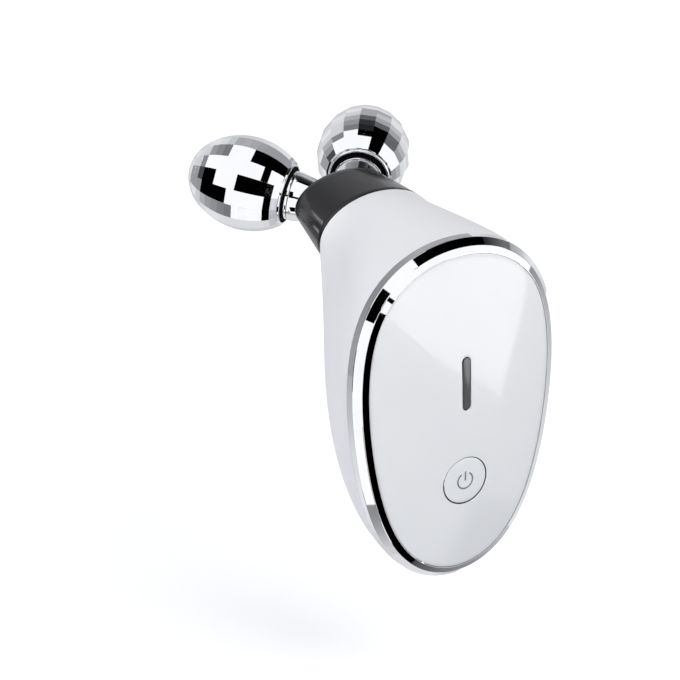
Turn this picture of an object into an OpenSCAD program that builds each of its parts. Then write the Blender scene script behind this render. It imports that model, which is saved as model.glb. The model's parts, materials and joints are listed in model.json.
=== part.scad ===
// Facial toning device: an egg-shaped body with a power button, and two faceted rollers on a forked neck.
// Built with X to the right, Y from the face to the back and Z up the face. Y = 0 is where the trim ring
// meets the body shell. The whole is then moved so that the origin is the middle of its box.

/* [Face] */
// Width of the face at its middle height
face_w = 52.4; // [48:0.2:58]
// Height of the face
face_h = 81.4; // [76:0.2:90]
// How much fuller the top of the face is than its bottom
egg_lean = 0.145; // [0.1:0.005:0.18]
// How full the face's shoulders are
egg_full = 0.206; // [0.15:0.002:0.23]

/* [Trim ring] */
// Depth of the ring's outer side wall
ring_side = 2.2; // [1.6:0.1:3]
// Width of the outer bevel
bevel_1_in = 1.45; // [1.2:0.05:1.8]
// Rise of the outer bevel
bevel_1_up = 1.7; // [1.3:0.05:2.1]
// Width of the inner bevel
bevel_2_in = 1.53; // [1.2:0.05:1.8]
// Rise of the inner bevel
bevel_2_up = 0.75; // [0.5:0.05:1.1]
// Width of the ledge that carries the cover
ledge_w = 1.6; // [1.2:0.1:2.2]
// Thickness of that ledge
ledge_t = 1.4; // [1:0.1:1.8]
// Wall of the spigot that enters the shell
spigot_t = 1.2; // [0.9:0.1:1.5]
// Length of that spigot
spigot_len = 2.4; // [1.6:0.1:2.8]

/* [Front cover] */
// Thickness of the cover
cover_t = 1.8; // [1.5:0.1:2.2]
// Height of the cover's dome over its edge
dome_h = 3.05; // [2:0.05:4]
// Gap line between cover and ring
cover_gap = 0.12; // [0.08:0.01:0.2]
// Diameter of the cover's screw posts
post_d = 4.4; // [4:0.1:5]
// Sideways place of the upper screw posts
post_top_x = 15; // [14:0.5:16]
// Height of the upper screw posts
post_top_z = 24; // [23:0.5:25]
// Sideways place of the lower screw posts
post_low_x = 13.5; // [12.5:0.5:14]
// Depth of the lower screw posts below the middle
post_low_z = 22; // [21:0.5:23]

/* [Light window] */
// Height of the light slot
slot_len = 12.9; // [10:0.1:14]
// Width of the light slot
slot_w = 2.4; // [2:0.1:3.2]
// Height of the slot's middle over the face's middle
slot_z = 8; // [6:0.1:9]
// How far the window lies below the cover's surface
slot_recess = 0.25; // [0.1:0.05:0.5]
// Lip that keeps the window behind the cover
window_lip = 0.8; // [0.6:0.1:1.2]
// Thickness of that lip
window_lip_t = 0.8; // [0.5:0.1:0.9]

/* [Power button] */
// Diameter of the button
button_d = 11.2; // [9:0.1:12.5]
// Gap round the button
button_gap = 0.2; // [0.15:0.01:0.3]
// How far the button's middle lies below the face's middle
button_drop = 15.7; // [14.5:0.1:17]
// Travel of the button
button_travel = 0.4; // [0.25:0.05:0.5]
// Width of the flange that keeps the button in
flange_w = 1; // [0.7:0.1:1.3]
// Thickness of that flange
flange_t = 0.75; // [0.6:0.05:0.9]
// Diameter of the button's stem
stem_rod_d = 4; // [3:0.1:5]

/* [Body shell] */
// Depth of the shell from the ring to the neck
body_depth = 29.2; // [27:0.2:34]
// Wall of the shell
shell_t = 1.8; // [1.5:0.1:2.2]
// Width of the neck where the cap begins
neck_w = 30.2; // [28.6:0.2:34]
// Height of the neck there
neck_h = 19.6; // [18.6:0.2:22]
// Height of the neck's middle over the face's middle
neck_z = 31.5; // [30.5:0.1:33]
// Rise of the top line behind the face
top_swell_1 = 0.4; // [0:0.1:1]
// Rise of the top line before the neck
top_swell_2 = 1.6; // [1:0.1:2.4]
// Lift of the bottom line behind the face
heel_lift_1 = 4; // [3:0.1:6]
// Lift of the bottom line before the neck
heel_lift_2 = 8; // [6:0.1:12]
// Swell of the sides behind the face
side_swell_1 = 2.7; // [1.6:0.1:3.6]
// Swell of the sides before the neck
side_swell_2 = 3.6; // [3:0.1:5]
// How fast the egg outline fades to an oval
egg_fade = 0.8; // [0.4:0.05:1.2]

/* [Neck cap] */
// Length of the cap
cap_len = 14.5; // [13.5:0.1:17]
// Width of the cap's end
cap_end_w = 25; // [24:0.1:27]
// Height of the cap's end
cap_end_h = 14; // [13.6:0.1:15.5]
// Height of the cap end's middle over the face's middle
cap_end_z = 34.6; // [34:0.1:35.2]
// Wall of the cap
cap_t = 1.4; // [1.2:0.1:1.6]
// Wall of the cap round the yoke's plate
cap_rim_t = 1; // [0.8:0.05:1.1]
// Shadow line between shell and cap
cap_line = 0.15; // [0.1:0.05:0.3]
// Height of the shell's pad inside the cap
pad_h = 1.5; // [1:0.1:2]

/* [Rollers] */
// Diameter of a roller over its facets' corners
roller_d = 21.4; // [20:0.2:23]
// Length of a roller's whole egg
roller_len = 27.4; // [26.4:0.2:30]
// Facets round a roller
facets = 18; // [16:2:24]
// Rows of facets from pole to pole
facet_rows = 24; // [20:4:28]
// Angle of each roller's axis to the middle plane
roller_spread = 38.6; // [37:0.2:41]
// Upward tilt of the two axes
roller_tilt = 11; // [9:0.5:12]
// Distance from where the axes cross to a roller's middle
roller_reach = 25.1; // [24.6:0.1:28]
// How far inside the cap's end the axes cross
cross_inset = 4.2; // [4:0.1:4.4]
// How far below the cap end's middle the axes cross
cross_drop = 1.8; // [1.6:0.1:1.9]
// Thinnest wall of a roller
roller_wall = 1.4; // [1.2:0.1:1.6]
// Bore of the neck end of a roller
mouth_d = 12; // [11.4:0.1:12.6]
// Length of the turned collar before the facets
collar_len = 1.6; // [1.2:0.1:1.8]
// Diameter of the collar's inner end
collar_end_d = 11.6; // [11.2:0.1:12]
// Gap between collar and seal
seal_gap = 0.25; // [0.2:0.05:0.3]
// Thickness of the seal
seal_t = 0.55; // [0.5:0.05:0.8]
// Diameter of the seal
seal_d = 11; // [10.4:0.1:11.4]

/* [Yoke and axles] */
// Diameter of a stem
stem_d = 9.4; // [9:0.1:9.6]
// Added radius where the stem flares to the seal
stem_flare = 0.4; // [0.2:0.05:0.5]
// Thickness of the yoke's plate
plate_t = 1.4; // [1.2:0.1:1.6]
// How far the plate lies inside the cap's end
plate_inset = 0.3; // [0.2:0.05:0.4]
// Diameter of the yoke's two screw legs
leg_d = 4.6; // [4.2:0.1:4.8]
// Distance of a leg from the middle
leg_x = 7.2; // [6.8:0.1:7.3]
// Diameter of an axle
axle_d = 4; // [3.6:0.1:4.2]
// Wall of the insulating sleeve
sleeve_t = 1.2; // [0.9:0.1:1.3]
// Outer diameter of a bush
bush_d = 6.4; // [6:0.1:6.8]
// Length of a bush
bush_len = 3.5; // [2.5:0.1:4.5]
// Running clearance between axle and bush, on the radius
run_clear = 0.05; // [0.02:0.01:0.09]

/* [Electronics] */
// Distance of the board behind the inner frame
board_space = 3.35; // [3:0.05:4]
// Thickness of the board
board_t = 1.2; // [1:0.1:1.6]
// Margin between face outline and board
board_margin = 8; // [7:0.2:9]
// Height of the board's flat top edge over the face's middle
board_top = 22; // [20:0.5:24]
// Thickness of the inner frame
frame_t = 1.6; // [1.2:0.1:2]
// Diameter of the boost coil's two flanges
coil_d = 7; // [6:0.5:8]
// Height of the coil over the board
coil_h = 4; // [3:0.2:5]
// Thickness of a flange of the coil
coil_flange = 0.8; // [0.6:0.1:1.2]
// Sideways place of the coil
coil_x = 9; // [8:0.5:11]
// Height of the coil over the face's middle
coil_z = 17; // [15:0.5:18]
// Width of the battery cell
cell_w = 20; // [16:0.5:24]
// Height of the battery cell
cell_h = 34; // [30:0.5:36]
// Thickness of the battery cell
cell_t = 6; // [4:0.5:8]
// Thickness of the foam tape
foam_t = 1.5; // [1:0.1:2]
// Width of the charging socket
socket_w = 8.94; // [7.5:0.02:9]
// Height of the charging socket
socket_h = 3.2; // [2.8:0.05:3.3]
// Length of the charging socket
socket_len = 7.3; // [6.8:0.1:8]
// Diameter of an inner lead
lead_d = 1; // [0.8:0.1:1.2]

/* [Fasteners] */
// Thread diameter of the small screws
screw_d = 1.7; // [1.6:0.1:2]
// Head diameter of the small screws
screw_head_d = 3.6; // [3.2:0.1:4]
// Head height of the small screws
screw_head_h = 1.2; // [1:0.1:1.4]
// Thread diameter of the yoke screws
yoke_screw_d = 2.3; // [2:0.1:2.5]
// Length of the yoke screws under their heads
yoke_screw_len = 8; // [6:0.5:10]

/* [Hidden] */

segs = 60;          // points round the face, the shell and the cap
shell_steps = 18;   // steps along the shell
dome_steps = 5;     // steps across the dome
fine = 48;          // fineness of true round shapes
slip = 0.03;        // clearance of parts that are pressed or glued together
fit_gap = 0.1;      // clearance of parts that drop into each other
over = 0.5;         // how far a cut runs past the face that it opens
half_w = face_w/2;
half_h = face_h/2;

// Trim ring and cover, as depths in front of Y = 0 and as insets from the face's outline
ring_front = ring_side + bevel_1_up + bevel_2_up;
ring_in = bevel_1_in + bevel_2_in;
seat_front = ring_front - cover_t;
ledge_in = ring_in + ledge_w;
spigot_out = shell_t + fit_gap;
spigot_in = spigot_out + spigot_t;
cover_in = ring_in + cover_gap;
rim_in = ledge_in + fit_gap;

// Layers behind the cover, as Y
frame_front = -(seat_front - ledge_t);
frame_back = frame_front + frame_t;
board_front = frame_back + board_space;
board_back = board_front + board_t;
posts = [[post_top_x, post_top_z], [-post_top_x, post_top_z],
    [post_low_x, -post_low_z], [-post_low_x, -post_low_z]];
standoffs = [[13, 12], [-13, 12], [7, -26], [-7, -26]];
post_sink = 0.9;    // how far a post runs into the cover's thickness
pilot_d = screw_d + 0.1;

// Light path
window_back = -(seat_front + dome_h*(1 - pow((slot_z + slot_len/2 + window_lip)/(half_h - rim_in), 2)))
    + fit_gap + window_lip_t;
led_t = 0.8;
led_count = 4;

// Button and switch
button_z = -button_drop;
flange_front = -(seat_front + dome_h*(1 - pow((button_drop + button_d/2 + flange_w)/(half_h - rim_in), 2)
    - pow((button_d/2 + flange_w)/(half_w - rim_in), 2))) + fit_gap;
switch_w = 6;
switch_t = 3.1;
plunger_d = 3.4;
plunger_out = 1;    // how far the plunger stands out of the switch
plunger_in = 0.8;   // how far it reaches into the switch

// Neck, cap and yoke
neck_top = neck_z + neck_h/2;
neck_low = neck_z - neck_h/2;
cap_front = body_depth + cap_line;
cap_back = body_depth + cap_len;
plate_back = cap_back - plate_inset;
plate_front = plate_back - plate_t;
cap_ledge_w = 0.9;  // step that the yoke's plate seats on
cap_ledge_t = 1;
pad_in = cap_t + 0.8;
pad_back = body_depth + pad_h;
wall_back = body_depth - shell_t;
leg_z = cap_end_z - 0.6;
wire_hole_d = 5;
leg_hole_d = 2.7;
yoke_head_d = 4.2;
yoke_head_h = 1.6;

// Rollers, measured along their own axis from the roller's middle
roller_r = roller_d/2;
roller_l = roller_len/2;
cut_row = facet_rows/4;
row_angle = 180/facet_rows;
cut_z = -roller_l*cos(cut_row*row_angle);
collar_z = cut_z - collar_len;
seal_z = collar_z - seal_gap - seal_t;
hub_z = cut_z + 0.4;
mouth_end = cut_z + 2.2;
socket_z = roller_l*0.63;
socket_end = socket_z + 2.4;
hub_r = 4.6;
hub_end = socket_end - fit_gap;
bush_flange_t = 0.7;
bush_flange_r = bush_d/2 + 0.4;
clip_pocket_r = 3.9;
far_bush_end = socket_z - 1.2;
clip_t = 0.6;
clip_gap = 0.2;
clip_z = far_bush_end + bush_flange_t + clip_gap;
groove_d = axle_d - 1;
axle_end = clip_z + clip_t + 0.7;
axle_root = 3.2 - roller_reach;
sleeve_root = 5 - roller_reach;
sleeve_r = axle_d/2 + sleeve_t;
spacer_r = sleeve_r + 0.3;
cross_y = cap_back - cross_inset;
cross_z = cap_end_z - cross_drop;

// Charging socket, at the lower tip of the board
socket_y = board_back + socket_h/2;
socket_mouth = bottom_at(socket_y/body_depth) + 1.5;
socket_wall = 0.3;
port_gap = 0.3;

// ---- Outlines and lofts ----

// A cubic curve from a to d, pulled towards b and c
function curve(a, b, c, d, s) = a*pow(1 - s, 3) + 3*b*s*pow(1 - s, 2) + 3*c*s*s*(1 - s) + d*s*s*s;

// A point of an egg outline of half width w and half height h, inset along its normal
function egg(w, h, f, t, inset) =
    let (lean = egg_lean*f, full = egg_full*f, c = cos(t), s = sin(t),
        g = 1 + lean*c + full*c*c,
        dx = w*(c*g - s*s*(lean + 2*full*c)), dz = -h*s, n = norm([dx, dz]))
    [w*s*g + inset*dz/n, h*c - inset*dx/n];

function loop(w, h, f, z, inset, y, scale = 1) =
    [for (i = [0:segs - 1]) let (p = egg(w, h, f, 360*i/segs, inset)) [p[0]*scale, y, z + p[1]*scale]];

function face_loop(inset, y, scale = 1) = loop(half_w, half_h, 1, 0, inset, y, scale);

// The body shell's top, bottom and side lines, for s from 0 at the ring to 1 at the neck
function top_at(s) = curve(half_h, half_h + top_swell_1, neck_top + top_swell_2, neck_top, s);
function bottom_at(s) = curve(-half_h, heel_lift_1 - half_h, heel_lift_2 - half_h, neck_low, s);
function side_at(s) = curve(half_w, half_w + side_swell_1, neck_w/2 + side_swell_2, neck_w/2, s);
function shell_loop(s, wall) = loop(side_at(s), (top_at(s) - bottom_at(s))/2, pow(1 - s, egg_fade),
    (top_at(s) + bottom_at(s))/2, wall, s*(body_depth - wall));

// The neck cap's oval at a depth y
function cap_part(y) = (y - body_depth)/cap_len;
function cap_loop(y, inset) = let (p = cap_part(y))
    loop((neck_w + p*(cap_end_w - neck_w))/2, (neck_h + p*(cap_end_h - neck_h))/2, 0,
        neck_z + p*(cap_end_z - neck_z), inset, y);

// The dome of the cover, as loops from its middle to its edge
function dome(base, inset, drop) = [for (k = [0:dome_steps]) let (r = max(k/dome_steps, 0.06))
    face_loop(inset, -(base + dome_h*(1 - r*r)) + drop, r)];
function reversed(a) = [for (k = [len(a) - 1:-1:0]) a[k]];

// A solid skin over loops of equal length, closed by flat ends, or joined into a ring
module skin(loops, ring = false) {
    n = len(loops[0]);
    m = len(loops);
    last = ring ? m - 1 : m - 2;
    sides = [for (k = [0:last], i = [0:n - 1]) let (j = (i + 1)%n, u = (k + 1)%m)
        [k*n + i, u*n + i, u*n + j, k*n + j]];
    ends = ring ? [] : [[for (i = [0:n - 1]) i], [for (i = [n - 1:-1:0]) (m - 1)*n + i]];
    polyhedron([for (l = loops, p = l) p], concat(sides, ends), convexity = 6);
}

// Round bar along Y from y0 to y1, at a point of the face
module bar(d, y0, y1, x = 0, z = 0) translate([x, y0, z]) rotate([-90, 0, 0])
    cylinder(d = d, h = y1 - y0, $fn = fine);

// Upright bar with round ends, from y0 to y1, its middle at height z
module upright_bar(len, w, y0, y1, z) {
    bar(w, y0, y1, 0, z + (len - w)/2);
    bar(w, y0, y1, 0, z - (len - w)/2);
    translate([-w/2, y0, z - (len - w)/2]) cube([w, y1 - y0, len - w]);
}

// Level bar with round ends, standing from z0 to z1, its middle at depth y
module level_bar(w, h, z0, z1, y) {
    for (side = [-1, 1]) translate([side*(w - h)/2, y, z0]) cylinder(d = h, h = z1 - z0, $fn = fine);
    translate([-(w - h)/2, y - h/2, z0]) cube([w - h, h, z1 - z0]);
}

// A box from its lowest corner and its highest
module block(low, high) translate(low) cube(high - low);

// Places a roller's own frame: its Z runs outwards along the axle, from the roller's middle
module on_axle(side) translate([0, cross_y, cross_z]) rotate([roller_tilt - 90, 0, 0])
    rotate([0, side*roller_spread, 0]) translate([0, 0, roller_reach]) children();

// Round bar along the axle
module rod(d, z0, z1, d2 = 0) translate([0, 0, z0])
    cylinder(d1 = d, d2 = d2 > 0 ? d2 : d, h = z1 - z0, $fn = fine);
module ring_rod(outer, inner, z0, z1) difference() {
    rod(outer, z0, z1);
    rod(inner, z0 - over, z1 + over);
}

// A round lead through points, with a smooth path between them
function spline(p, k, t) = let (a = p[max(k - 1, 0)], b = p[k], c = p[k + 1], d = p[min(k + 2, len(p) - 1)])
    0.5*(2*b + (c - a)*t + (2*a - 5*b + 4*c - d)*t*t + (3*b - a - 3*c + d)*t*t*t);
function path(p, steps) = concat([for (k = [0:len(p) - 2], i = [0:steps - 1]) spline(p, k, i/steps)],
    [p[len(p) - 1]]);
module lead(points, d) {
    p = path(points, 3);
    n = len(p);
    m = len(points);
    sides = 8;
    // Its two ends are cut square to the first and the last stretch
    skin([for (k = [0:n - 1])
        let (t = k == 0 ? points[1] - points[0] : k == n - 1 ? points[m - 1] - points[m - 2]
            : p[k + 1] - p[k - 1], u = cross(t, [1, 0.2, 0.1]), v = cross(u, t))
        [for (i = [0:sides - 1]) p[k] + d/2*(cos(-360*i/sides)*u/norm(u) + sin(-360*i/sides)*v/norm(v))]]);
}

// A small screw: its head lies from y backwards, its thread runs forwards
module screw(x, z, y, len) {
    bar(screw_head_d, y, y + screw_head_h, x, z);
    bar(screw_d, y - len, y + slip, x, z);
}

// The middle of the part's box, from its outermost points
function roller_points() = [for (k = [cut_row:facet_rows - 1]) [for (i = [0:facets - 1])
    let (a = k*row_angle, b = 360*i/facets)
    [roller_r*sin(a)*cos(b), roller_r*sin(a)*sin(b), -roller_l*cos(a)]]];
function on_part(p) = let (x = p[0], z = p[2] + roller_reach, w = z*cos(roller_spread) - x*sin(roller_spread))
    [x*cos(roller_spread) + z*sin(roller_spread),
    cross_y + p[1]*sin(roller_tilt) + w*cos(roller_tilt),
    cross_z - p[1]*cos(roller_tilt) + w*sin(roller_tilt)];
outer_points = [for (l = roller_points(), p = l) on_part(p)];
shell_tops = [for (k = [0:shell_steps]) top_at(k/shell_steps)];
back_most = max([for (p = outer_points) p[1]]);
top_most = max(concat([for (p = outer_points) p[2]], shell_tops, [cap_end_z + cap_end_h/2]));
low_most = min([for (k = [0:shell_steps]) bottom_at(k/shell_steps)]);
front_most = -(ring_front + dome_h*(1 - 0.06*0.06));
module centred() translate([0, -(front_most + back_most)/2, -(top_most + low_most)/2]) children();

// ---- Body ----

module body_shell() centred() color("#E2E3E8") difference() {
    union() {
        skin(concat([for (k = [shell_steps:-1:0]) shell_loop(k/shell_steps, shell_t)],
            [for (k = [0:shell_steps]) shell_loop(k/shell_steps, 0)]));
        // Pad that locates the neck cap
        skin([loop(neck_w/2, neck_h/2, 0, neck_z, pad_in, body_depth - shell_t/2),
            loop(neck_w/2, neck_h/2, 0, neck_z, pad_in, pad_back)]);
    }
    bar(wire_hole_d, wall_back - over, pad_back + over, 0, neck_z);
    for (side = [-1, 1]) bar(leg_hole_d, wall_back - over, pad_back + over, side*leg_x, leg_z);
    level_bar(socket_w + 2*port_gap, socket_h + 2*port_gap, -half_h - over, socket_mouth + 3, socket_y);
}

// The ring's spigot follows the shell's inner wall
module trim_ring() centred() color("#C9CCD2") skin([
    face_loop(ring_in, -ring_front),
    face_loop(bevel_1_in, -ring_side - bevel_1_up),
    face_loop(0, -ring_side),
    face_loop(0, 0),
    face_loop(spigot_out, 0),
    shell_loop(spigot_len/(body_depth - spigot_out), spigot_out),
    shell_loop(spigot_len/(body_depth - spigot_in), spigot_in),
    face_loop(spigot_in, frame_back),
    face_loop(spigot_in, frame_front),
    face_loop(ledge_in, frame_front),
    face_loop(ledge_in, -seat_front),
    face_loop(ring_in, -seat_front)], ring = true);

module front_cover() centred() color("#F3F3F5") {
    difference() {
        skin(concat(dome(ring_front, cover_in, 0), [face_loop(cover_in, -seat_front)],
            reversed(dome(seat_front, rim_in, 0))));
        bar(button_d + 2*button_gap, -ring_front - dome_h - over, frame_front, 0, button_z);
        upright_bar(slot_len, slot_w, -ring_front - dome_h - over, frame_front, slot_z);
    }
    for (p = posts) difference() {
        bar(post_d, -seat_front - post_sink - fit_gap, frame_front, p[0], p[1]);
        bar(pilot_d, -seat_front, frame_front + over, p[0], p[1]);
    }
}

// The dome's outer form, set back by drop, for pieces that follow its surface
module dome_form(drop) skin(concat(dome(ring_front, cover_in, drop), [face_loop(cover_in, frame_front)]));

module light_window() centred() color("#4A4B50") {
    intersection() {
        upright_bar(slot_len - 2*slip, slot_w - 2*slip, -ring_front - dome_h, window_back - window_lip_t/2,
            slot_z);
        dome_form(slot_recess);
    }
    upright_bar(slot_len + 2*window_lip, slot_w + 2*window_lip, window_back - window_lip_t, window_back,
        slot_z);
}

module light_guide() centred() color("#F5F5F0")
    upright_bar(slot_len - 1, slot_w - 0.4, window_back, board_front - led_t - fit_gap, slot_z);

module power_button() centred() color("#F3F3F5") {
    intersection() {
        bar(button_d, -ring_front - dome_h, flange_front + flange_t/2, 0, button_z);
        dome_form(0);
    }
    bar(button_d + 2*flange_w, flange_front, flange_front + flange_t, 0, button_z);
    bar(stem_rod_d, flange_front, board_front - switch_t - plunger_out, 0, button_z);
}

// ---- Behind the face ----

module inner_frame() centred() color("#B9BCC2") difference() {
    union() {
        skin([face_loop(spigot_in + fit_gap, frame_front), face_loop(spigot_in + fit_gap, frame_back)]);
        for (p = standoffs) bar(post_d, frame_back - over, board_front, p[0], p[1]);
    }
    for (p = posts) bar(screw_d + 0.5, frame_front - over, frame_back + over, p[0], p[1]);
    for (p = standoffs) bar(pilot_d, frame_front - over, board_front + over, p[0], p[1]);
    bar(stem_rod_d + 1.2, frame_front - over, frame_back + over, 0, button_z);
    upright_bar(slot_len, slot_w + 0.6, frame_front - over, frame_back + over, slot_z);
}

module frame_screws() centred() color("#8D9096")
    for (p = posts) screw(p[0], p[1], frame_back, frame_t + seat_front + frame_front - 0.2);

module circuit_board() centred() color("#1F6B3A") difference() {
    intersection() {
        skin([face_loop(board_margin, board_front), face_loop(board_margin, board_back)]);
        block([-face_w, board_front - over, -face_h], [face_w, board_back + over, board_top]);
    }
    for (p = standoffs) bar(screw_d + 0.5, board_front - over, board_back + over, p[0], p[1]);
}

module board_screws() centred() color("#8D9096")
    for (p = standoffs) screw(p[0], p[1], board_back, board_t + board_space - 0.3);

module circuit_chips() centred() color("#2A2B2E") {
    block([-13, board_front - 1, -1], [-6, board_front, 6]);
    block([6, board_front - 1.1, 2], [11, board_front, 6]);
    block([7, board_front - 0.9, -8], [11, board_front, -4]);
    block([-11, board_front - 0.8, -8], [-7.8, board_front, -6.4]);
}

module boost_coil() centred() color("#3A3531") {
    bar(coil_d, board_back, board_back + coil_flange, coil_x, coil_z);
    bar(coil_d - 2, board_back, board_back + coil_h, coil_x, coil_z);
    bar(coil_d, board_back + coil_h - coil_flange, board_back + coil_h, coil_x, coil_z);
}

module led_row() centred() color("#F0F0E4") for (k = [0:led_count - 1]) {
    z = slot_z + (k - (led_count - 1)/2)*(slot_len - 1)/led_count;
    block([-1, board_front - led_t, z - 0.8], [1, board_front, z + 0.8]);
}

module tact_switch() centred() color("#3C3D40") difference() {
    block([-switch_w/2, board_front - switch_t, button_z - switch_w/2],
        [switch_w/2, board_front, button_z + switch_w/2]);
    bar(plunger_d + 0.4, board_front - switch_t - over,
        board_front - switch_t + plunger_in + button_travel + 0.2, 0, button_z);
}

module switch_plunger() centred() color("#222326")
    bar(plunger_d, board_front - switch_t - plunger_out, board_front - switch_t + plunger_in, 0, button_z);

module charging_socket() centred() color("#B4B7BC") {
    difference() {
        level_bar(socket_w, socket_h, socket_mouth, socket_mouth + socket_len, socket_y);
        level_bar(socket_w - 2*socket_wall, socket_h - 2*socket_wall, socket_mouth - over,
            socket_mouth + socket_len - 1, socket_y);
    }
    block([-socket_w*0.37, socket_y - 0.35, socket_mouth + 0.8],
        [socket_w*0.37, socket_y + 0.35, socket_mouth + socket_len - 0.5]);
}

cell_z = -5;        // middle of the cell
cell_front = board_back + foam_t;
module battery_foam() centred() color("#3F4043")
    block([-cell_w/2 + 1, board_back, cell_z - cell_h/2 + 3],
        [cell_w/2 - 1, cell_front, cell_z + cell_h/2 - 3]);

module battery_cell() centred() color("#BFC3C8")
    block([-cell_w/2, cell_front, cell_z - cell_h/2], [cell_w/2, cell_front + cell_t, cell_z + cell_h/2]);

cell_board_t = 1.2;
cell_board_w = cell_w - 4;
cell_board_z = cell_z + cell_h/2;
module battery_board() centred() color("#C98B2B")
    block([-cell_board_w/2, cell_front + 1, cell_board_z],
        [cell_board_w/2, cell_front + cell_t - 1, cell_board_z + cell_board_t]);

plug_size = [6, 4, 4];
plug_low = [-12, board_back, 15];
lead_pitch = 2.4;   // distance between two leads where they end side by side
module battery_plug() centred() color("#EDE9DC") block(plug_low, plug_low + plug_size);

// The second lead runs inside the arch of the first
module battery_leads() centred() for (k = [0, 1]) color(k == 0 ? "#B3261E" : "#1D1D1F")
    let (x0 = -0.5 - lead_pitch*k, x1 = plug_low[0] + 1.8 + lead_pitch*k, z1 = plug_low[2] + plug_size[2])
    lead([
        [x0, cell_front + cell_t/2, cell_board_z + cell_board_t],
        [x0, cell_front + cell_t/2, cell_board_z + cell_board_t + 3],
        [-4.6 - k, cell_front + cell_t/2 - 0.5, z1 + 5.3 - 2*k],
        [x1, board_back + 2, z1 + 3.7 - 1.4*k],
        [x1, board_back + 2, z1]], lead_d);

module electrode_leads() centred() for (side = [-1, 1]) color(side < 0 ? "#D8D8DC" : "#2E4C8C")
    let (pad_x = 1.8 + side*lead_pitch/2)
    lead([
        [side*2, plate_front - 0.3, cross_z + 0.5],
        [side*1.6, plate_front - 4, cross_z],
        [side*0.9, pad_back + 1.5, neck_z],
        [side*0.9, wall_back - 1.5, neck_z],
        [side*2, wall_back - 8, neck_z - 3],
        [pad_x, board_back + 6, board_top + 3],
        [pad_x, board_back + 2.5, board_top - 3],
        [pad_x, board_back, board_top - 3]], lead_d);

// ---- Neck ----

module neck_cap() centred() color("#3E3E40") skin([
    cap_loop(cap_front, cap_t),
    cap_loop(cap_front, 0),
    cap_loop(cap_back, 0),
    cap_loop(cap_back, cap_rim_t),
    cap_loop(plate_front, cap_rim_t),
    cap_loop(plate_front, cap_rim_t + cap_ledge_w),
    cap_loop(plate_front - cap_ledge_t, cap_rim_t + cap_ledge_w),
    cap_loop(plate_front - 2*cap_ledge_t, cap_t)], ring = true);

module yoke() centred() color("#D0D3D8") difference() {
    union() {
        // Plate inside the cap's end
        skin([for (y = [plate_front, plate_back]) loop(cap_end_w/2, cap_end_h/2, 0, cap_end_z,
            cap_rim_t + fit_gap/2, y)]);
        // Stems, cut off in front of the plate
        intersection() {
            for (side = [-1, 1]) on_axle(side) {
                rod(stem_d, -roller_reach, seal_z);
                rod(stem_d, seal_z - 2, seal_z, stem_d + 2*stem_flare);
            }
            block([-face_w, plate_front, 0], [face_w, plate_front + roller_reach, face_h]);
        }
        for (side = [-1, 1]) bar(leg_d, pad_back, plate_front + over, side*leg_x, leg_z);
    }
    for (side = [-1, 1]) {
        on_axle(side) {
            rod(2*sleeve_r + 2*slip, sleeve_root - slip, seal_z + over);
            rod(axle_d + 2*slip, axle_root - 1, sleeve_root);
        }
        bar(yoke_screw_d + 0.1, pad_back - over, pad_back + yoke_screw_len, side*leg_x, leg_z);
    }
    // Recess where the leads meet the axles
    bar(10, plate_front - over, plate_front + 1, 0, cross_z + 0.5);
}

module yoke_screws() centred() color("#8D9096") for (side = [-1, 1]) {
    bar(yoke_head_d, wall_back - yoke_head_h, wall_back, side*leg_x, leg_z);
    bar(yoke_screw_d, wall_back - slip, wall_back - slip + yoke_screw_len, side*leg_x, leg_z);
}

// ---- Rollers ----

module roller(side) centred() color("#D6D9DE") on_axle(side) difference() {
    skin(roller_points());
    rotate_extrude($fn = fine) polygon([
        [0, cut_z - over], [mouth_d/2, cut_z - over], [mouth_d/2, mouth_end],
        [inner_r(0.33) - 0.2, -roller_l*0.33], [inner_r(0), 0], [inner_r(0.36), roller_l*0.36],
        [inner_r(0.63) - 0.3, socket_z], [hub_r + slip, socket_z], [hub_r + slip, socket_end],
        [0, socket_end]]);
}
// Inner radius of a roller at a share of its half length
function inner_r(share) = roller_r*cos(180/facets)*sqrt(1 - share*share) - roller_wall;

module collar(side) centred() color("#C9CCD2") on_axle(side) difference() {
    union() {
        rod(collar_end_d, collar_z, cut_z, 2*roller_r*sin(cut_row*row_angle)*cos(180/facets) - 0.8);
        rod(mouth_d - 2*slip, cut_z - slip, hub_z);
    }
    rod(2*bush_flange_r + 1, collar_z - over, hub_z + over);
}

module hub(side) centred() color("#C2A25A") on_axle(side) difference() {
    union() {
        rod(mouth_d - 2*slip, hub_z, mouth_end - fit_gap);
        rod(2*hub_r, hub_z, hub_end);
    }
    rod(axle_d + 1, hub_z - over, hub_end + over);
    rod(bush_d + 2*slip, hub_z - over, hub_z + bush_len);
    rod(bush_d + 2*slip, far_bush_end - bush_len, far_bush_end + over);
    rod(2*clip_pocket_r, far_bush_end, hub_end + over);
}

module inner_bush(side) centred() color("#B98C4A") on_axle(side) difference() {
    union() {
        rod(bush_d, hub_z - slip, hub_z + bush_len);
        rod(2*bush_flange_r, hub_z - bush_flange_t, hub_z);
    }
    rod(axle_d + 2*run_clear, hub_z - bush_flange_t - over, hub_z + bush_len + over);
}

module outer_bush(side) centred() color("#B98C4A") on_axle(side) difference() {
    union() {
        rod(bush_d, far_bush_end - bush_len, far_bush_end + slip);
        rod(2*bush_flange_r, far_bush_end, far_bush_end + bush_flange_t);
    }
    rod(axle_d + 2*run_clear, far_bush_end - bush_len - over, far_bush_end + bush_flange_t + over);
}

module axle(side) centred() color("#A9ADB3") on_axle(side) {
    rod(axle_d, axle_root, clip_z);
    rod(groove_d, clip_z - slip, clip_z + clip_t + slip);
    rod(axle_d, clip_z + clip_t, axle_end - 0.4);
    rod(axle_d, axle_end - 0.4, axle_end, axle_d - 0.8);
}

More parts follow.
